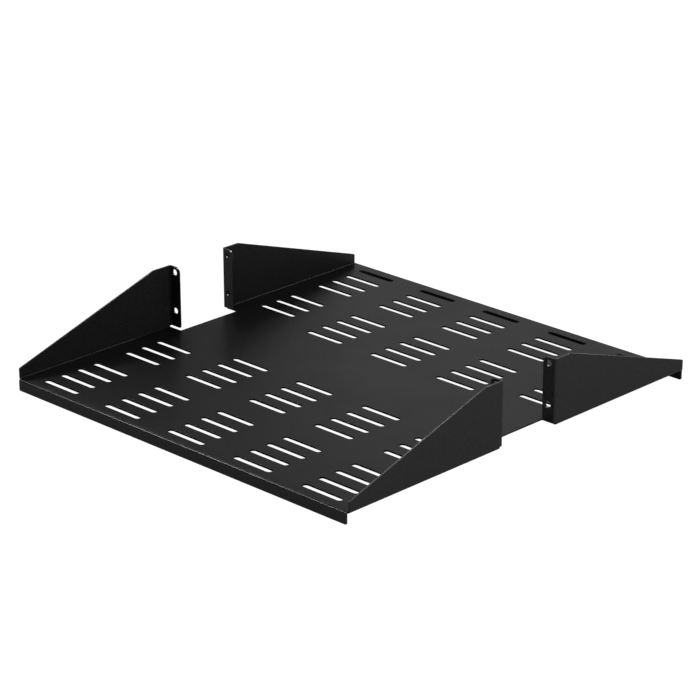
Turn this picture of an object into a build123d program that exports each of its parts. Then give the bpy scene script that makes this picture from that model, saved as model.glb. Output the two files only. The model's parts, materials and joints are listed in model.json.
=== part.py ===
"""Vented centre-mount shelf for a two-post rack, folded from one steel sheet.

The deck has a lip folded down along its front edge and its rear edge. At each
corner a wing is folded up from the deck's side and ends in a flange, folded
inward, that lies on the front or the rear face of a rack post. The post passes
down through a notch in the deck's side. All sizes are in millimetres.

The frame has X across the rack, Y towards the rear and Z up. Its origin is on
the surface that both lips stand on, midway along the deck's width and depth.
"""

import os

from build123d import *

# Sheet, with the radius inside each bend
sheet = 1.9
bend_radius = 0.6
free_corner_radius = 1.5

# Rack posts that the shelf is made for
post_opening = 450.8
post_depth = 76.2
post_clearance = 0.8
rack_unit = 44.45

# Deck, with its lips measured from the top face
front_reach = 217.2
rear_reach = 210.3
lip_height = 13.0

# Wings
wing_end_height = 10.7
front_flat = 26.3
rear_flat = 23.6
apex_radius = 2.0

# Flanges on the posts, with heights from the deck's top face
flange_width = 15.9
flange_corner_radius = 6.3
flange_gap = 0.4
hole_diameter = 7.1
hole_edge_distance = 7.15
lower_hole_height = 19.4
top_hole_margin = 6.35

# Notches in the deck for the posts
notch_side_clearance = 3.2
notch_end_relief = 1.7

# Slots in the deck
slot_length = 52.2
slot_width = 7.1
slot_round_sides = 20
slot_side_margin = 5.6
slot_end_margin = 17.6
columns = 5
rows_in_group = 4
blank_rows_between_groups = 1
blank_rows_at_middle = 4

# Places along the deck
outer_bend_radius = bend_radius + sheet
middle_bend_radius = bend_radius + sheet / 2
shelf_width = post_opening + 2 * flange_width
channel_width = shelf_width - 2 * outer_bend_radius
shelf_depth = front_reach + post_depth + post_clearance + rear_reach
front_plane = front_reach - shelf_depth / 2
rear_plane = shelf_depth / 2 - rear_reach
notch_inner = post_opening / 2 - notch_side_clearance
notch_relief = outer_bend_radius + notch_end_relief

# Heights above the surface that the lips stand on
deck_top = lip_height
deck_middle = deck_top - sheet / 2
flange_bottom = deck_top + bend_radius + flange_gap
lower_hole_z = deck_top + lower_hole_height
upper_hole_z = lower_hole_z + rack_unit
wing_end_z = deck_top + wing_end_height
wing_top = upper_hole_z + top_hole_margin
wall_middle = (shelf_width - sheet) / 2
hole_x = post_opening / 2 + hole_edge_distance

# Slot grid, counted in rows of one even pitch from the front of the deck to the rear
rows = 4 * rows_in_group + 2 * blank_rows_between_groups + blank_rows_at_middle
row_pitch = (shelf_depth - 2 * slot_end_margin) / (rows - 1)
outer_column_x = notch_inner - slot_side_margin - slot_length / 2
column_pitch = 2 * outer_column_x / (columns - 1)
inner_group_y = (blank_rows_at_middle + rows_in_group) / 2 * row_pitch
outer_group_y = inner_group_y + (rows_in_group + blank_rows_between_groups) * row_pitch
row_by_notch_y = (blank_rows_at_middle + 1) / 2 * row_pitch


def left_wing(reach, flat):
    """Fold one left wing and its flange, for the front of the shelf.

    The flange's rear face, which lies on the post, is in the plane Y = 0. The
    wing reaches forward from there to the bend of the lip, and its top edge is
    flat for a stretch before it slopes down to the free end.
    """
    free_end = outer_bend_radius - reach

    # Wall with its bend from the deck, as one section carried along the wing, which
    # overlaps the deck's edge by the sheet's thickness
    with BuildPart() as wing:
        with BuildSketch(Plane.XZ.offset(notch_relief)):
            with BuildLine():
                FilletPolyline(
                    (-channel_width / 2 + sheet, deck_middle),
                    (-wall_middle, deck_middle),
                    (-wall_middle, wing_top),
                    radius=middle_bend_radius,
                )
            trace(line_width=sheet)
        extrude(amount=-free_end - notch_relief)

        # Wall, upright bend and flange, as one section carried up from the flange's foot
        with BuildSketch(Plane.XY.offset(flange_bottom)):
            with BuildLine():
                FilletPolyline(
                    (-wall_middle, free_end),
                    (-wall_middle, -sheet / 2),
                    (-post_opening / 2, -sheet / 2),
                    radius=middle_bend_radius,
                )
            trace(line_width=sheet)
        extrude(amount=wing_top - flange_bottom)

        # Side outline that the flat sheet is cut to
        with BuildSketch(Plane.YZ.offset(-shelf_width / 2)):
            with BuildLine():
                Polyline(
                    (free_end, 0),
                    (free_end, wing_end_z),
                    (-flat, wing_top),
                    (0, wing_top),
                    (0, 0),
                    close=True,
                )
            make_face()
            corners = vertices().sort_by(Axis.X)
            fillet(corners[0:2].sort_by(Axis.Y)[-1], free_corner_radius)
            fillet(vertices().filter_by_position(Axis.X, -flat, -flat), apex_radius)
        extrude(amount=shelf_width / 2, mode=Mode.INTERSECT)

        # Flange's inner edge, with a large round at the top and a small one at the foot
        flange_edge = faces().filter_by(Axis.X).sort_by(Axis.X)[-1]
        fillet(flange_edge.edges().sort_by(Axis.Z)[-1], flange_corner_radius)
        flange_edge = faces().filter_by(Axis.X).sort_by(Axis.X)[-1]
        fillet(flange_edge.edges().sort_by(Axis.Z)[0], free_corner_radius)

        # Screw holes, one rack unit apart
        with BuildSketch(Plane.XZ):
            with Locations((-hole_x, lower_hole_z), (-hole_x, upper_hole_z)):
                Circle(hole_diameter / 2)
        extrude(amount=sheet, mode=Mode.SUBTRACT)
    return wing.part


front_left_wing = left_wing(front_reach, front_flat)
rear_right_wing = left_wing(rear_reach, rear_flat)

# All four wings, the rear pair being the front pair turned about and given its own reach
with BuildPart() as wings:
    with Locations((0, front_plane, 0)):
        add(front_left_wing)
    with Locations(Location((0, rear_plane, 0), (0, 0, 180))):
        add(rear_right_wing)
    mirror(about=Plane.YZ)

# Outline of one slot. Its ends are halves of a many-sided polygon, true to the round within
# 0.05 mm, because true arcs would make the mesh of so many slots too heavy.
with BuildSketch() as slot:
    slot_middle_length = slot_length - slot_width
    Rectangle(slot_middle_length, slot_width)
    with GridLocations(slot_middle_length, 0, 2, 1):
        RegularPolygon(slot_width / 2, slot_round_sides)

with BuildPart() as shelf:
    # Deck and both lips, as one section carried across the shelf
    with BuildSketch(Plane.YZ.offset(-channel_width / 2)):
        with BuildLine():
            FilletPolyline(
                (-(shelf_depth - sheet) / 2, 0),
                (-(shelf_depth - sheet) / 2, deck_middle),
                ((shelf_depth - sheet) / 2, deck_middle),
                ((shelf_depth - sheet) / 2, 0),
                radius=middle_bend_radius,
            )
        trace(line_width=sheet)
    extrude(amount=channel_width)
    lip_corners = edges().filter_by(Axis.Y).group_by(Axis.Z)[0]
    fillet(lip_corners, free_corner_radius)

    # Notches that the posts pass through
    with BuildSketch(Plane.XY.offset(deck_top)):
        notch_length = rear_plane - front_plane + 2 * notch_relief
        notch_depth = channel_width / 2 - notch_inner
        with Locations((0, (front_plane + rear_plane) / 2)):
            with GridLocations(2 * notch_inner + notch_depth, 0, 2, 1):
                Rectangle(notch_depth, notch_length)
        inner_corners = vertices().filter_by_position(Axis.X, -notch_inner, notch_inner)
        fillet(inner_corners, free_corner_radius)
    extrude(amount=-sheet, mode=Mode.SUBTRACT)

    # Wings, joined to the deck along their bends
    add(wings.part)

    # Slots, in four groups of rows, with none in the rows that pass close by a notch
    with BuildSketch(Plane.XY.offset(deck_top)):
        for group_y in (-outer_group_y, -inner_group_y, inner_group_y, outer_group_y):
            with Locations((0, group_y)):
                with GridLocations(column_pitch, row_pitch, columns, rows_in_group):
                    add(slot.sketch)
        with GridLocations(2 * outer_column_x, 2 * row_by_notch_y, 2, 2):
            add(slot.sketch, mode=Mode.SUBTRACT)
    extrude(amount=-sheet, mode=Mode.SUBTRACT)

shelf.part.label = "shelf"

os.makedirs("parts", exist_ok=True)
export_step(shelf.part, "parts/shelf.step")

print("volume mm3", round(shelf.part.volume), "solids", len(shelf.part.solids()))
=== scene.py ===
"""Vented centre-mount rack shelf, folded from one sheet of steel and powder-coated black.

The sheet is worked out flat first, as a blank: its outline, its slots and its
screw holes, with a round on every cut edge. The blank is then folded up, bend by
bend, so the mesh has a true section everywhere. Units are metres, +X runs across
the rack, +Y from the front of the shelf to its rear, and +Z up.
"""

import json

import bpy
import numpy as np
from bpy.props import FloatProperty, FloatVectorProperty, IntProperty, PointerProperty
from bpy.types import Operator, Panel, PropertyGroup
from mathutils import Matrix, Vector
from mathutils.geometry import delaunay_2d_cdt


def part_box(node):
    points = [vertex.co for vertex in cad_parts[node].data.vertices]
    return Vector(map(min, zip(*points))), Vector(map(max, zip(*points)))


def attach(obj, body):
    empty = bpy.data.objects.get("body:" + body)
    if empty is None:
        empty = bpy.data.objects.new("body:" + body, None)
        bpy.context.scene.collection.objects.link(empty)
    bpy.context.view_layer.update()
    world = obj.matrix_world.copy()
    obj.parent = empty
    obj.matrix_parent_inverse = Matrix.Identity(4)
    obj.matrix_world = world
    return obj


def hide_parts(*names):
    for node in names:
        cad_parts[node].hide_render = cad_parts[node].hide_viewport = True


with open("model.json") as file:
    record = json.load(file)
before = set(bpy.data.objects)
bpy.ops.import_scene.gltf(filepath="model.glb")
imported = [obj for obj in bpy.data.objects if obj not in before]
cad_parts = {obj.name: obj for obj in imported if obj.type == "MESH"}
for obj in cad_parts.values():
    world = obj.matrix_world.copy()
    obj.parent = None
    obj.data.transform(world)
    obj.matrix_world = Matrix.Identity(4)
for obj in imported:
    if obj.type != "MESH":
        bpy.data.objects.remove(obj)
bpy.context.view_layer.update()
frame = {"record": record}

bl_info = {
    "name": "Vented Rack Shelf",
    "version": (1, 0, 0),
    "blender": (4, 5, 0),
    "location": "3D View > Sidebar > Rack Shelf",
    "description": "Folds a powder-coated rack shelf from a flat blank and lights it",
    "category": "Add Mesh",
}

# Sizes that the frame gives
shelf_low, shelf_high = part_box("shelf")
mounts = {mount["name"]: mount for mount in frame["record"]["mounts"]}
front_holes = mounts["front_flange_holes"]
rear_holes = mounts["rear_flange_holes"]
deck_top = mounts["deck_top"]["pos_m"][2]
front_plane = front_holes["pos_m"][1]
rear_plane = rear_holes["pos_m"][1]
hole_middle_height = front_holes["pos_m"][2]
holes_across = front_holes["dims"]["spacing_x_mm"] / 1000
holes_apart = front_holes["dims"]["spacing_y_mm"] / 1000
hole_diameter = 2 * front_holes["dims"]["hole_r_mm"] / 1000

# Middle of the gap between the front and the rear flanges
post_middle = (front_plane + rear_plane) / 2

# Start of a bend's first facet, as a share of the sheet's thickness
bend_start_share = 1 / 40

# Height over which the outline is a wing's top edge, as a share of its free end's height
top_edge_share = 0.8

# Distance in metres within which two points are one, and within which a bend line meets the outline
same_point = 1e-9
bend_line_slack = 1e-6


def length(name, default, description):
    """A length in metres that a user can change."""
    return FloatProperty(name=name, default=default, description=description, unit="LENGTH", min=0)


def number(name, default, description):
    """A plain number that a user can change."""
    return FloatProperty(name=name, default=default, description=description)


class SheetSizes(PropertyGroup):
    """Sizes of the folded sheet."""

    sheet: length("Sheet", 0.0019, "Thickness of the steel")
    bend_radius: length("Bend radius", 0.0006, "Radius inside each bend")
    edge_round: length("Edge round", 0.00012, "Round of each cut edge")
    corner_radius: length("Corner radius", 0.0015, "Round of the sheet's free corners")
    tight_radius: length("Tight corner", 0.0003, "Round of the corner at each flange's foot")
    post_opening: length("Post opening", 0.4508, "Clear width between the flanges' inner edges")
    wing_end_height: length("Wing end", 0.0107, "Height of a wing's free end above the deck")
    front_flat: length("Front flat", 0.0263, "Level stretch of a front wing's top edge")
    rear_flat: length("Rear flat", 0.0236, "Level stretch of a rear wing's top edge")
    apex_radius: length("Apex radius", 0.002, "Round where a wing's top edge starts to slope")
    flange_corner: length("Flange corner", 0.0063, "Round of a flange's upper corner")
    flange_lift: length("Flange lift", 0.001, "Height of a flange's foot above the deck")
    notch_clearance: length("Notch clearance", 0.0032, "Side room between deck and post")
    notch_relief: length("Notch relief", 0.0042, "Reach of a notch past the flange's plane")
    bend_steps: IntProperty(name="Bend steps", default=10, min=2, description="Facets in a bend")
    round_steps: IntProperty(name="Round steps", default=4, min=1, description="Facets in an edge")
    corner_steps: IntProperty(name="Corner steps", default=7, min=3, description="Points in a corner")


class SlotSizes(PropertyGroup):
    """Sizes and places of the vent slots."""

    slot_length: length("Slot length", 0.0522, "Length of a slot over its round ends")
    slot_width: length("Slot width", 0.0071, "Width of a slot")
    side_margin: length("Side margin", 0.0056, "From a notch's line to the nearest slot end")
    end_margin: length("End margin", 0.0176, "From the lip's face to the nearest slot's middle")
    columns: IntProperty(name="Columns", default=5, min=2, description="Slots across the deck")
    rows_in_group: IntProperty(name="Rows", default=4, min=1, description="Rows in a group")
    blank_between: IntProperty(name="Gap rows", default=1, description="Rows left out between groups")
    blank_middle: IntProperty(name="Middle rows", default=4, description="Rows left out at the posts")
    arc_steps: IntProperty(name="Arc steps", default=17, min=5, description="Points in a half round")


class CoatLook(PropertyGroup):
    """Colour and texture of the powder coat."""

    colour: FloatVectorProperty(
        name="Coat colour", subtype="COLOR", default=(0.003, 0.003, 0.0032), description="Base black"
    )
    # Painted glint: the lighter black on the highest grains stands for the coat's tiny highlights
    painted_glint_colour: FloatVectorProperty(
        name="Painted glint colour", subtype="COLOR", default=(0.005, 0.005, 0.0053), description="Lighter black"
    )
    gloss_low: number("Smoothest", 0.28, "Lowest roughness of the coat")
    gloss_high: number("Roughest", 0.33, "Highest roughness of the coat")
    face_ior: number("Face IOR", 1.5, "Refraction of the coat")
    edge_ior: number("Edge IOR", 2.7, "Refraction of the thin coat on a wing's top edge")
    grain_size: length("Grain size", 0.0007, "Width of one grain of the coat")
    peel_size: length("Peel size", 0.0026, "Width of one wave of the coat's skin")
    face_grain: length("Face grain", 0.00005, "Height of the grain")
    edge_grain: length("Edge grain", 0.00002, "Height of the grain on a wing's top edge")


class StageLook(PropertyGroup):
    """Camera, floor and lights."""

    camera_place: FloatVectorProperty(
        name="Camera", subtype="XYZ", default=(1.8771, -1.91778, 1.08838), description="Where it stands"
    )
    camera_azimuth: number("Azimuth", 44.427, "Degrees from +Y, turning to -X, that it looks towards")
    camera_elevation: number("Elevation", 21.35, "Degrees that it looks down from level")
    camera_roll: number("Roll", -0.146, "Degrees about the view")
    camera_lens: number("Lens", 142.06, "Focal length in millimetres")
    floor_half: length("Floor half width", 9.0, "Half the width of the floor")
    floor_gap: length("Floor gap", 0.0002, "Depth of the floor under the shelf")
    floor_colour: FloatVectorProperty(
        name="Floor colour", subtype="COLOR", default=(0.1, 0.1, 0.1), description="Under the lights alone"
    )
    floor_seen: number("Floor seen", 1.0, "Light of the floor to the camera")
    # The floor's glow to the shelf is painted light: a painted shadow under the shelf, dim close by, bright
    # further off
    painted_shadow_felt: number("Covered floor", 0.02, "Light of the floor under the shelf, to the shelf")
    near_felt: number("Near floor", 0.16, "Light of the floor close by, to the shelf")
    far_felt: number("Far floor", 1.4, "Light of the floor further off, to the shelf")
    cover_blur: length("Cover blur", 0.004, "Width over which the covered floor ends")
    near_reach: length("Near reach", 0.6, "Where the floor starts to brighten")
    far_reach: length("Far reach", 1.6, "Where the floor has become bright")
    room_felt: number("Room felt", 0.045, "Light of the room, to the shelf")


def fold(run, lift, radius):
    """Fold points of a flat strip up square, and return where they go and how far they turn.

    run is the distance along the strip's middle line past the start of the bend,
    and lift the height above that line. With R the bend's radius, the turn is
    run / R, held between nothing and a right angle. A point then goes ahead by
    R sin(turn) and up by R (1 - cos(turn)), on along the turned line by what is
    left of its run, and off that line by its lift.
    """
    turn = np.clip(run / radius, 0, np.pi / 2)
    past = run - turn * radius
    ahead = radius * np.sin(turn) + past * np.cos(turn) - lift * np.sin(turn)
    up = radius * (1 - np.cos(turn)) + past * np.sin(turn) + lift * np.cos(turn)
    return ahead, up, turn


def turned(ahead, up, turn):
    """Turn a direction up by an angle: (a cos - u sin, a sin + u cos)."""
    return ahead * np.cos(turn) - up * np.sin(turn), ahead * np.sin(turn) + up * np.cos(turn)


class Blank:
    """The flat sheet that the shelf is folded from.

    A point of the blank is (u, v, w). u and v are X and Y on the deck and run on
    along the sheet's middle line past each bend, and w is the height above that
    line, towards the deck's upper side. A quarter of the blank is described by
    a, the distance from the middle across, and b, the distance out from the plane
    of its own flanges.
    """

    def __init__(self, sizes, slots):
        self.sizes, self.slots = sizes, slots
        self.outer_radius = sizes.bend_radius + sizes.sheet
        self.middle_radius = sizes.bend_radius + sizes.sheet / 2
        self.bend_length = self.middle_radius * np.pi / 2
        self.deck_middle = deck_top - sizes.sheet / 2
        self.wing_start = shelf_high[0] - self.outer_radius
        self.wing_foot = deck_top + sizes.bend_radius
        self.flange_foot = self.up_wing(deck_top + sizes.flange_lift)
        self.wing_edge = self.up_wing(shelf_high[2])
        self.notch_inner = sizes.post_opening / 2 - sizes.notch_clearance
        self.lip_start = {
            -1: front_plane - shelf_low[1] - self.outer_radius,
            1: shelf_high[1] - rear_plane - self.outer_radius,
        }

    def up_wing(self, height):
        """Distance a of a height on a wing: the bend's length and the rest of the way up."""
        return self.wing_start + self.bend_length + height - self.wing_foot

    def along_flange(self, across):
        """Distance b of a place on a flange: back round its bend and in towards the middle."""
        return self.outer_radius - self.bend_length - (self.wing_start - across)

    def bend_stations(self):
        """Distances into a bend at which its facets meet, the first just past its start."""
        start = self.sizes.sheet * bend_start_share
        return np.linspace(start, self.bend_length, self.sizes.bend_steps + 1)

    def quarter(self, end):
        """Corners (a, b) of a quarter from its notch to its lip, and the radius of each."""
        sizes, lip_start, foot = self.sizes, self.lip_start[end], self.outer_radius
        into = self.bend_stations()
        low, top = self.flange_foot, self.wing_edge
        flat = sizes.front_flat if end < 0 else sizes.rear_flat
        tip = self.along_flange(sizes.post_opening / 2)
        lip_edge = lip_start + self.bend_length + deck_top - self.outer_radius
        runs = [
            ([(self.notch_inner, sizes.notch_relief)], sizes.corner_radius),
            ([(self.wing_start + i, sizes.notch_relief) for i in into], 0),
            ([(low, sizes.notch_relief)], sizes.tight_radius),
            ([(low, foot - i) for i in into], 0),
            ([(low, tip)], sizes.corner_radius),
            ([(top, tip)], sizes.flange_corner),
            ([(top, foot - i) for i in into[::-1]], 0),
            ([(top, flat)], sizes.apex_radius),
            ([(self.up_wing(deck_top + sizes.wing_end_height), lip_start)], sizes.corner_radius),
            ([(self.wing_start + i, lip_start) for i in into[::-1]], 0),
            ([(self.wing_start, lip_start)], 0),
            ([(self.wing_start, lip_start + i) for i in into], 0),
            ([(self.wing_start, lip_edge)], sizes.corner_radius),
        ]
        corners = np.array([corner for run, _ in runs for corner in run])
        radii = np.array([radius for run, radius in runs for _ in run])
        return corners, radii

    def placed(self, points, side, end):
        """Put quarter points (a, b) on the blank: u = side a, v = the flanges' plane + end b."""
        plane = front_plane if end < 0 else rear_plane
        return np.stack([side * points[..., 0], plane + end * points[..., 1]], -1)

    def outline(self):
        """The sheet's whole outline, counter-clockwise, from its four quarters."""
        corners, radii = [], []
        for side, end in ((1, -1), (-1, -1), (-1, 1), (1, 1)):
            part, part_radii = self.quarter(end)
            step = 1 if side * end < 0 else -1
            corners.append(self.placed(part, side, end)[::step])
            radii.append(part_radii[::step])
        corners, radii = np.concatenate(corners), np.concatenate(radii)
        return round_corners(corners, radii, self.sizes.corner_steps)[::-1]

    def bend_lines(self):
        """Both ends of every line along which two facets of a bend meet, set in by the edge round."""
        sizes, inset, lines = self.sizes, self.sizes.edge_round, []
        into, foot = self.bend_stations(), self.outer_radius
        low, top, up = self.flange_foot, self.wing_edge, self.wing_start + into
        for end in (-1, 1):
            start = self.lip_start[end]
            across = np.full_like(into, self.wing_start - inset)
            lip = np.stack([across, start + into], -1)
            lines.append((self.placed(lip, -1, end), self.placed(lip, 1, end)))
            for side in (-1, 1):
                near = np.stack([up, np.full_like(into, sizes.notch_relief + inset)], -1)
                far = np.stack([up, np.full_like(into, start - inset)], -1)
                lines.append((self.placed(near, side, end), self.placed(far, side, end)))
                under = np.stack([np.full_like(into, low + inset), foot - into], -1)
                over = np.stack([np.full_like(into, top - inset), foot - into], -1)
                lines.append((self.placed(under, side, end), self.placed(over, side, end)))
        return np.concatenate([a for a, _ in lines]), np.concatenate([b for _, b in lines])

    def along_wing_top(self, start, end):
        """Whether a side of the outline is part of a wing's level or sloping top edge."""
        over = self.up_wing(deck_top + top_edge_share * self.sizes.wing_end_height)
        run = np.abs(end - start)
        return (np.abs(start[:, 0]) > over) & (np.abs(end[:, 0]) > over) & (run[:, 1] > run[:, 0])

    def vent_slots(self):
        """One outline for each slot, as an array of slot, point and (u, v).

        The rows stand on one even pitch from end to end of the deck. They come in
        four groups, with rows left out between them, and beside the notches the
        row nearest to the posts has no slot in the outer columns.
        """
        s = self.slots
        rows = 4 * s.rows_in_group + 2 * s.blank_between + s.blank_middle
        row = np.arange(rows)
        from_end = np.minimum(row, rows - 1 - row)
        row = row[(from_end < s.rows_in_group)
                  | ((from_end >= s.rows_in_group + s.blank_between)
                     & (from_end < 2 * s.rows_in_group + s.blank_between))]
        v = np.linspace(shelf_low[1] + s.end_margin, shelf_high[1] - s.end_margin, rows)[row]
        outer = self.notch_inner - s.side_margin - s.slot_length / 2
        u = np.linspace(-outer, outer, s.columns)
        u, v = np.meshgrid(u, v)
        from_middle = np.abs(v - (shelf_low[1] + shelf_high[1]) / 2)
        beside_notch = np.isclose(np.abs(u), outer) & np.isclose(from_middle, from_middle.min())
        centres = np.stack([u[~beside_notch], v[~beside_notch]], -1)
        return round_hole(s.slot_length, s.slot_width, s.arc_steps) + centres[:, None]

    def screw_holes(self):
        """One outline for each screw hole in the four flanges."""
        b = self.along_flange(holes_across / 2)
        heights = hole_middle_height + np.array([-0.5, 0.5]) * holes_apart
        places = np.stack([self.up_wing(heights), np.full(2, b)], -1)
        centres = np.concatenate([self.placed(places, s, e) for s in (-1, 1) for e in (-1, 1)])
        return round_hole(hole_diameter, hole_diameter, 2 * self.slots.arc_steps) + centres[:, None]

    def folded(self, points, normals):
        """Fold points (u, v, w) of the blank, and their normals, into the shelf's own space.

        Each flange is folded in from its wing, then each wing up from the deck, then
        each lip down. A point that a bend doesn't reach has no run, so it stays.
        """
        u, v, w = points[..., 0], points[..., 1], points[..., 2]
        nu, nv, nw = normals[..., 0], normals[..., 1], normals[..., 2]
        radius, side = self.middle_radius, np.sign(u)
        end = np.where(v < post_middle, -1, 1)
        plane = np.where(end < 0, front_plane, rear_plane)
        lip_start = np.where(end < 0, self.lip_start[-1], self.lip_start[1])
        b, nb = (v - plane) * end, nv * end
        on_wing = np.abs(u) > self.wing_start + self.bend_length
        ahead, lift, turn = fold(np.where(on_wing, self.outer_radius - b, 0), w, radius)
        b = np.where(on_wing, self.outer_radius - ahead, b)
        nb, nw = turned(-nb, nw, turn)
        ahead, up, turn = fold(np.abs(u) - self.wing_start, lift, radius)
        x = side * (self.wing_start + ahead)
        nx, nz = turned(nu * side, nw, turn)
        ahead, down, turn = fold(b - lip_start, -up, radius)
        y = plane + end * (lip_start + ahead)
        ny, nz = turned(-nb, -nz, turn)
        placed = np.stack([x, y, self.deck_middle - down], -1)
        return placed, np.stack([nx * side, ny * end, -nz], -1)


def round_corners(corners, radii, steps):
    """Outline of a ring of corners, each with an arc of its own radius.

    The arc touches both sides of its corner, at r / tan(half angle) from it. Its
    centre is on the bisector, r / sin(half angle) away, and its points swing evenly
    from one touching point to the other.
    """
    outline = []
    back = np.roll(corners, 1, 0) - corners
    on = np.roll(corners, -1, 0) - corners
    for corner, to_last, to_next, radius in zip(corners, back, on, radii):
        if radius == 0:
            outline.append(corner[None])
            continue
        to_last, to_next = to_last / np.linalg.norm(to_last), to_next / np.linalg.norm(to_next)
        angle = np.arccos(to_last @ to_next)
        bisector = (to_last + to_next) / np.linalg.norm(to_last + to_next)
        centre = corner + bisector * radius / np.sin(angle / 2)
        first = corner + to_last * radius / np.tan(angle / 2) - centre
        last = corner + to_next * radius / np.tan(angle / 2) - centre
        swing, t = np.pi - angle, np.linspace(0, 1, steps)[:, None]
        arc = (np.sin((1 - t) * swing) * first + np.sin(t * swing) * last) / np.sin(swing)
        outline.append(centre + arc)
    return np.concatenate(outline)


def round_hole(long, wide, steps):
    """Clockwise outline of a hole with half-round ends: centre + r (cos t, sin t) at each end."""
    t = np.linspace(np.pi / 2, -np.pi / 2, steps, endpoint=long > wide)
    end = np.stack([(long - wide) / 2 + wide / 2 * np.cos(t), wide / 2 * np.sin(t)], -1)
    return np.concatenate([end, -end])


def inward(loops):
    """Vector from each point of closed loops into the sheet, so that both sides move in by one.

    The sheet is on the left of every loop. With n and m the left-hand normals of the
    two sides that meet at a point, the vector is (n + m) / (1 + n.m).
    """
    side = np.roll(loops, -1, -2) - loops
    side /= np.linalg.norm(side, axis=-1, keepdims=True)
    ahead = np.stack([-side[..., 1], side[..., 0]], -1)
    behind = np.roll(ahead, 1, -2)
    return (ahead + behind) / (1 + (ahead * behind).sum(-1, keepdims=True))


def edge_profile(sheet, radius, steps):
    """Section of a cut edge from the upper face to the lower one.

    A quarter round leads from the upper face to the edge, with depth r (1 - sin t) in
    from the cut and height h - r (1 - cos t), and its mirror image leads to the lower
    face. Returns depth, height and the normal's outward and upward parts.
    """
    t = np.linspace(0, np.pi / 2, steps + 1)
    depth, height = radius * (1 - np.sin(t)), sheet / 2 - radius * (1 - np.cos(t))
    rows = np.stack([depth, height, np.sin(t), np.cos(t)], -1)
    return np.concatenate([rows, rows[::-1] * (1, -1, 1, -1)])


def fill(points, following, line_ends):
    """Triangles between the loops of the blank, with every bend line kept as an edge.

    A triangle is kept when its middle is on the sheet: a ray from there towards +u
    crosses the loops an odd number of times.
    """
    gaps = [np.linalg.norm(points[None] - ends[:, None], axis=-1) for ends in line_ends]
    if max(gap.min(1).max() for gap in gaps) > bend_line_slack:
        raise RuntimeError("A bend line does not end on the sheet's outline")
    lines = np.stack([gap.argmin(1) for gap in gaps], -1)
    edges = np.concatenate([np.stack([np.arange(len(points)), following], -1), lines])
    filled = delaunay_2d_cdt([Vector(p) for p in points], edges.tolist(), [], 0, same_point, False)
    if len(filled[0]) != len(points):
        raise RuntimeError("The blank's outline crosses itself")
    triangles = np.array(filled[2])
    middle = points[triangles].mean(1)[:, None]
    start, end = points[None], points[following][None]
    straddles = (start[..., 1] > middle[..., 1]) != (end[..., 1] > middle[..., 1])
    rise = np.where(straddles, end[..., 1] - start[..., 1], 1)
    crossing = start[..., 0] + (middle[..., 1] - start[..., 1]) / rise * (end[..., 0] - start[..., 0])
    triangles = triangles[(straddles & (crossing > middle[..., 0])).sum(1) % 2 == 1]
    a, b, c = (points[triangles[:, i]] for i in range(3))
    flipped = np.cross(b - a, c - a) < 0
    triangles[flipped] = triangles[flipped][:, ::-1]
    return triangles


def fold_sheet(sizes, slots):
    """Mesh of the folded sheet, with its normals taken from the exact surface."""
    blank = Blank(sizes, slots)
    rings = [blank.outline()[None], blank.vent_slots(), blank.screw_holes()]
    points = np.concatenate([ring.reshape(-1, 2) for ring in rings])
    into_sheet = np.concatenate([inward(ring).reshape(-1, 2) for ring in rings])
    following, first = [], 0
    for count, size in (ring.shape[:2] for ring in rings):
        index = first + np.arange(count * size).reshape(count, size)
        following.append(np.roll(index, -1, 1).ravel())
        first += count * size
    following = np.concatenate(following)

    # Each row of the profile is one copy of all the loops, set in and down by its own amount
    profile = edge_profile(sizes.sheet, sizes.edge_round, sizes.round_steps)
    depth, height, outward, upward = (profile[:, i, None] for i in range(4))
    flat = points[None] + into_sheet[None] * depth[..., None]
    out = -into_sheet / np.linalg.norm(into_sheet, axis=-1, keepdims=True)
    blank_points = np.concatenate([flat, np.broadcast_to(height[..., None], flat.shape[:2] + (1,))], -1)
    blank_normals = np.concatenate(
        [out[None] * outward[..., None], np.broadcast_to(upward[..., None], flat.shape[:2] + (1,))], -1
    )
    placed, normals = blank.folded(blank_points, blank_normals)

    # Upper and lower face, and the strips of the edge between them
    triangles = fill(flat[0], following, blank.bend_lines())
    last_row = (len(profile) - 1) * len(points)
    start = np.arange(len(profile) - 1)[:, None] * len(points)
    here, there = start + np.arange(len(points)), start + following
    strips = np.stack([here, here + len(points), there + len(points), there], -1).reshape(-1, 4)
    faces = triangles.tolist() + (triangles[:, ::-1] + last_row).tolist() + strips.tolist()

    mesh = bpy.data.meshes.new("folded_sheet")
    mesh.from_pydata(placed.reshape(-1, 3), [], faces)
    mesh.polygons.foreach_set("use_smooth", np.ones(len(faces), bool))

    # The second material, the thin coat with a painted highlight in the lighter black, is on the strips of
    # the wings' top edges only
    thin = np.tile(blank.along_wing_top(points, points[following]), len(profile) - 1)
    material = np.concatenate([np.zeros(2 * len(triangles), bool), thin]).astype(np.int32)
    mesh.polygons.foreach_set("material_index", material)
    mesh.normals_split_custom_set_from_vertices(normals.reshape(-1, 3))
    mesh.update()
    return mesh


def add_node(tree, kind, values=(), **links):
    """Add a node, set its named inputs and attributes, and link what is given by input name."""
    node = tree.nodes.new(kind)
    for name, value in dict(values).items():
        if name in node.inputs:
            node.inputs[name].default_value = value
        else:
            setattr(node, name, value)
    for name, output in links.items():
        tree.links.new(output, node.inputs[name.replace("_", " ")])
    return node


def new_group(name, inputs, outputs):
    """Start a shader node group with float or vector inputs and outputs."""
    tree = bpy.data.node_groups.new(name, "ShaderNodeTree")
    for socket, kind in inputs.items():
        tree.interface.new_socket(socket, in_out="INPUT", socket_type=kind)
    for socket, kind in outputs.items():
        tree.interface.new_socket(socket, in_out="OUTPUT", socket_type=kind)
    return tree, tree.nodes.new("NodeGroupInput"), tree.nodes.new("NodeGroupOutput")


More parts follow.
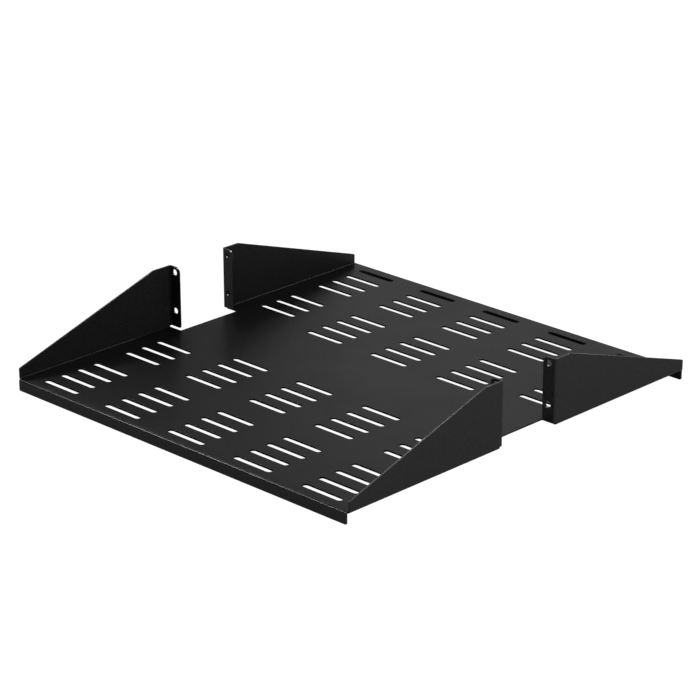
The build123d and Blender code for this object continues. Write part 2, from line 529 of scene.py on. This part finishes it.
def powder_grain_group():
    """Fine grain of a powder coat, and the slow waves of its skin, as one height.

    The grain is a noise of one octave more than its size, and the skin a smooth
    noise several grains wide. Top grains picks out the few grains that stand highest,
    where the black coat gets painted glints in a lighter black.
    """
    tree, given, made = new_group(
        "Powder grain",
        {"Position": "NodeSocketVector", "Grain Scale": "NodeSocketFloat", "Peel Scale": "NodeSocketFloat"},
        {"Height": "NodeSocketFloat", "Fleck": "NodeSocketFloat"},
    )
    grain = add_node(
        tree, "ShaderNodeTexNoise", {"Detail": 2.0, "Roughness": 0.6},
        Vector=given.outputs["Position"], Scale=given.outputs["Grain Scale"],
    )
    peel = add_node(
        tree, "ShaderNodeTexNoise", {"Detail": 0.0},
        Vector=given.outputs["Position"], Scale=given.outputs["Peel Scale"],
    )
    both = add_node(tree, "ShaderNodeMath", {"operation": "ADD"})
    tree.links.new(grain.outputs["Fac"], both.inputs[0])
    tree.links.new(peel.outputs["Fac"], both.inputs[1])
    top_grain = add_node(
        tree, "ShaderNodeMapRange", {"From Min": 0.8, "From Max": 1.25}, Value=both.outputs[0]
    )
    tree.links.new(both.outputs[0], made.inputs["Height"])
    tree.links.new(top_grain.outputs["Result"], made.inputs["Fleck"])
    return tree


def coat_flow_group():
    """Slow change in the gloss of a coat, where the powder went on thicker or was touched."""
    tree, given, made = new_group(
        "Coat flow",
        {"Position": "NodeSocketVector", "Smoothest": "NodeSocketFloat", "Roughest": "NodeSocketFloat"},
        {"Roughness": "NodeSocketFloat"},
    )
    clouds = add_node(
        tree, "ShaderNodeTexNoise", {"Scale": 14.0, "Detail": 3.0, "Distortion": 0.4},
        Vector=given.outputs["Position"],
    )
    gloss = add_node(
        tree, "ShaderNodeMapRange", {"From Min": 0.3, "From Max": 0.7},
        Value=clouds.outputs["Fac"], To_Min=given.outputs["Smoothest"], To_Max=given.outputs["Roughest"],
    )
    tree.links.new(gloss.outputs["Result"], made.inputs["Roughness"])
    return tree


def coat_material(name, look, groups, base, top_grain, grain_height, ior):
    """Powder coat with the shared grain and flow, in its own colours, grain height and refraction."""
    material = bpy.data.materials.new(name)
    material.use_nodes = True
    tree = material.node_tree
    shader = tree.nodes["Principled BSDF"]
    place = add_node(tree, "ShaderNodeTexCoord").outputs["Object"]
    grain = add_node(
        tree, "ShaderNodeGroup",
        {"node_tree": groups["grain"], "Grain Scale": 1 / look.grain_size, "Peel Scale": 1 / look.peel_size},
        Position=place,
    )
    flow = add_node(
        tree, "ShaderNodeGroup",
        {"node_tree": groups["flow"], "Smoothest": look.gloss_low, "Roughest": look.gloss_high},
        Position=place,
    )
    # The highest grains take the second colour; on the black coat that is a painted glint
    colour = add_node(tree, "ShaderNodeMix", {"data_type": "RGBA"})
    for socket, value in (("A", base), ("B", top_grain)):
        colour_socket = [s for s in colour.inputs if s.name == socket and s.type == "RGBA"][0]
        colour_socket.default_value = (*value, 1)
    tree.links.new(grain.outputs["Fleck"], colour.inputs["Factor"])
    mixed = [s for s in colour.outputs if s.type == "RGBA"][0]
    bump = add_node(
        tree, "ShaderNodeBump", {"Strength": 1.0, "Distance": grain_height}, Height=grain.outputs["Height"]
    )
    tree.links.new(mixed, shader.inputs["Base Color"])
    tree.links.new(flow.outputs["Roughness"], shader.inputs["Roughness"])
    tree.links.new(bump.outputs["Normal"], shader.inputs["Normal"])
    shader.inputs["IOR"].default_value = ior
    return material


class RACKSHELF_OT_folded_sheet(Operator):
    """Fold the shelf from its flat blank and coat it"""

    bl_idname = "rackshelf.folded_sheet"
    bl_label = "Folded Sheet"

    def execute(self, context):
        look = context.scene.rack_shelf_coat
        mesh = fold_sheet(context.scene.rack_shelf_sheet, context.scene.rack_shelf_slots)
        groups = {"grain": powder_grain_group(), "flow": coat_flow_group()}
        coats = (
            ("Black powder coat", look.colour, look.painted_glint_colour, look.face_grain, look.face_ior),
            # The wings' top edges take the lighter black as their base, a painted highlight along each edge
            ("Thin coat on cut edges", look.painted_glint_colour, look.colour, look.edge_grain, look.edge_ior),
        )
        for name, *finish in coats:
            mesh.materials.append(coat_material(name, look, groups, *finish))
        shelf = bpy.data.objects.new("folded_shelf", mesh)
        context.scene.collection.objects.link(shelf)
        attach(shelf, "root")
        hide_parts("shelf")
        return {"FINISHED"}


def floor_material(look):
    """Pale floor, white to the camera.

    To the shelf it glows as painted light: a painted shadow where the shelf covers it,
    dim close by and bright further off. It is covered where neither |x| nor |y| goes
    past the shelf's own half sizes.
    """
    material = bpy.data.materials.new("Pale floor")
    material.use_nodes = True
    tree = material.node_tree
    tree.nodes.remove(tree.nodes["Principled BSDF"])
    place = add_node(tree, "ShaderNodeTexCoord").outputs["Object"]
    half = add_node(tree, "ShaderNodeVectorMath", {"operation": "ABSOLUTE"}, Vector=place)
    past = add_node(tree, "ShaderNodeVectorMath", {"operation": "SUBTRACT"})
    past.inputs[1].default_value = (shelf_high[0], shelf_high[1], 0)
    tree.links.new(half.outputs["Vector"], past.inputs[0])
    sides = add_node(tree, "ShaderNodeSeparateXYZ", Vector=past.outputs["Vector"])
    outside = add_node(tree, "ShaderNodeMath", {"operation": "MAXIMUM"})
    tree.links.new(sides.outputs["X"], outside.inputs[0])
    tree.links.new(sides.outputs["Y"], outside.inputs[1])
    # Painted shadow: the floor glows dimmer to the shelf where the shelf covers it
    close = add_node(
        tree, "ShaderNodeMapRange",
        {"From Min": -look.cover_blur, "From Max": 0.0, "To Min": look.painted_shadow_felt, "To Max": look.near_felt},
        Value=outside.outputs["Value"],
    )
    away = add_node(tree, "ShaderNodeVectorMath", {"operation": "LENGTH"}, Vector=place)
    felt = add_node(
        tree, "ShaderNodeMapRange",
        {"From Min": look.near_reach, "From Max": look.far_reach, "To Max": look.far_felt},
        Value=away.outputs["Value"], To_Min=close.outputs["Result"],
    )
    camera = add_node(tree, "ShaderNodeLightPath").outputs["Is Camera Ray"]
    strength = add_node(
        tree, "ShaderNodeMapRange", {"To Max": look.floor_seen}, Value=camera, To_Min=felt.outputs["Result"]
    )
    light = add_node(tree, "ShaderNodeEmission", {"Color": (1, 1, 1, 1)}, Strength=strength.outputs[0])
    paper = add_node(tree, "ShaderNodeBsdfDiffuse", {"Color": (*look.floor_colour, 1)})
    both = add_node(tree, "ShaderNodeAddShader")
    tree.links.new(light.outputs[0], both.inputs[0])
    tree.links.new(paper.outputs[0], both.inputs[1])
    tree.links.new(both.outputs[0], tree.nodes["Material Output"].inputs["Surface"])
    return material


def studio_world(felt):
    """Surroundings that are white to the camera and dim to the shelf's reflections."""
    world = bpy.data.worlds.new("Studio")
    world.use_nodes = True
    tree = world.node_tree
    camera = add_node(tree, "ShaderNodeLightPath").outputs["Is Camera Ray"]
    strength = add_node(tree, "ShaderNodeMapRange", {"To Min": felt, "To Max": 1.0}, Value=camera)
    tree.nodes["Background"].inputs["Color"].default_value = (1, 1, 1, 1)
    tree.links.new(strength.outputs[0], tree.nodes["Background"].inputs["Strength"])
    return world


# Soft boxes: azimuth from +Y turning to -X, elevation, distance, width and height, radiance, and
# whether it shows in the coat's gleam. To the camera the deck mirrors the first two, and the bends
# and cut edges the next three. The right one lights the wings, and the dim ones fill in all round.
soft_boxes = (
    ("Rear soft box", 35, 22, 2.4, (0.8, 0.9), 0.37, True),
    ("Rear left soft box", 48, 22, 2.4, (0.35, 0.9), 0.187, True),
    ("Left soft box", 65, 42, 2.4, (0.42, 0.42), 4.0, True),
    ("Front left soft box", 133, 34, 1.45, (0.18, 0.18), 48.0, True),
    ("High rear soft box", 2, 50, 2.4, (0.8, 0.6), 6.0, True),
    ("Right soft box", 270, 10, 2.6, (1.6, 0.7), 38.0, False),
    ("Rear fill", 0, 20, 2.6, (1.6, 0.9), 0.3, True),
    ("Left fill", 90, 20, 2.6, (1.6, 0.9), 0.3, True),
    ("Front left fill", 135, 32, 2.6, (1.6, 0.9), 0.25, True),
    ("Front fill", 180, 20, 2.6, (1.6, 0.9), 0.3, True),
    ("Front right fill", 225, 32, 2.6, (1.6, 0.9), 0.3, True),
    ("Right fill", 270, 20, 2.6, (1.6, 0.9), 0.3, True),
    ("Rear right fill", 315, 38, 2.6, (1.6, 0.9), 0.3, True),
    ("Top fill", 180, 80, 2.6, (1.8, 1.8), 0.6, True),
)


def soft_light(name, azimuth, elevation, distance, size, radiance, gleams):
    """Soft box that faces the shelf from a direction given in degrees from +Y, turning to -X.

    Its power is radiance times pi times its area, which makes it that bright to look
    at. The camera doesn't see it, and one that doesn't gleam isn't mirrored either.
    """
    a, e = np.radians(azimuth), np.radians(elevation)
    place = distance * Vector((-np.sin(a) * np.cos(e), np.cos(a) * np.cos(e), np.sin(e)))
    light = bpy.data.lights.new(name, "AREA")
    light.shape, light.size, light.size_y = "RECTANGLE", size[0], size[1]
    light.energy = radiance * np.pi * size[0] * size[1]
    holder = bpy.data.objects.new(name, light)
    holder.location = place
    holder.rotation_mode = "QUATERNION"
    holder.rotation_quaternion = (-place).to_track_quat("-Z", "Y")
    holder.visible_camera, holder.visible_glossy = False, gleams
    bpy.context.scene.collection.objects.link(holder)


class RACKSHELF_OT_stage(Operator):
    """Set the floor, the lights and the camera"""

    bl_idname = "rackshelf.stage"
    bl_label = "Stage"

    def execute(self, context):
        look, scene = context.scene.rack_shelf_stage, context.scene
        half = look.floor_half
        mesh = bpy.data.meshes.new("floor")
        below = shelf_low[2] - look.floor_gap
        corners = [(-half, -half, below), (half, -half, below), (half, half, below), (-half, half, below)]
        mesh.from_pydata(corners, [], [(0, 1, 2, 3)])
        mesh.materials.append(floor_material(look))
        floor = bpy.data.objects.new("floor", mesh)
        scene.collection.objects.link(floor)
        scene.world = studio_world(look.room_felt)
        scene.view_settings.view_transform = "Standard"

        for row in soft_boxes:
            soft_light(*row)

        angles = (look.camera_azimuth, look.camera_elevation, look.camera_roll)
        azimuth, elevation, roll = np.radians(angles)
        forward = Vector((
            -np.sin(azimuth) * np.cos(elevation), np.cos(azimuth) * np.cos(elevation), -np.sin(elevation)
        ))
        level = forward.cross(Vector((0, 0, 1))).normalized()
        upright = level.cross(forward)
        right = level * np.cos(roll) + upright * np.sin(roll)
        up = upright * np.cos(roll) - level * np.sin(roll)
        lens = bpy.data.cameras.new("Camera")
        lens.lens = look.camera_lens
        camera = bpy.data.objects.new("Camera", lens)
        turn = Matrix((right, up, -forward)).transposed().to_4x4()
        camera.matrix_world = Matrix.Translation(look.camera_place) @ turn
        scene.collection.objects.link(camera)
        scene.camera = camera
        return {"FINISHED"}


class RACKSHELF_PT_panel(Panel):
    """Operators that build the shelf and its stage"""

    bl_idname = "RACKSHELF_PT_panel"
    bl_label = "Rack Shelf"
    bl_space_type = "VIEW_3D"
    bl_region_type = "UI"
    bl_category = "Rack Shelf"

    def draw(self, context):
        for operator in operators:
            self.layout.operator(operator.bl_idname)
        for name in settings:
            box = self.layout.box()
            group = getattr(context.scene, name)
            for key in group.__annotations__:
                box.prop(group, key)


settings = {
    "rack_shelf_sheet": SheetSizes,
    "rack_shelf_slots": SlotSizes,
    "rack_shelf_coat": CoatLook,
    "rack_shelf_stage": StageLook,
}
operators = (RACKSHELF_OT_folded_sheet, RACKSHELF_OT_stage)


def register():
    for group in settings.values():
        bpy.utils.register_class(group)
    for name, group in settings.items():
        setattr(bpy.types.Scene, name, PointerProperty(type=group))
    for item in (*operators, RACKSHELF_PT_panel):
        bpy.utils.register_class(item)


def unregister():
    for item in (RACKSHELF_PT_panel, *reversed(operators)):
        bpy.utils.unregister_class(item)
    for name in settings:
        delattr(bpy.types.Scene, name)
    for group in reversed(settings.values()):
        bpy.utils.unregister_class(group)


def main():
    register()
    bpy.ops.rackshelf.folded_sheet()
    bpy.ops.rackshelf.stage()


if __name__ == "__main__":
    main()
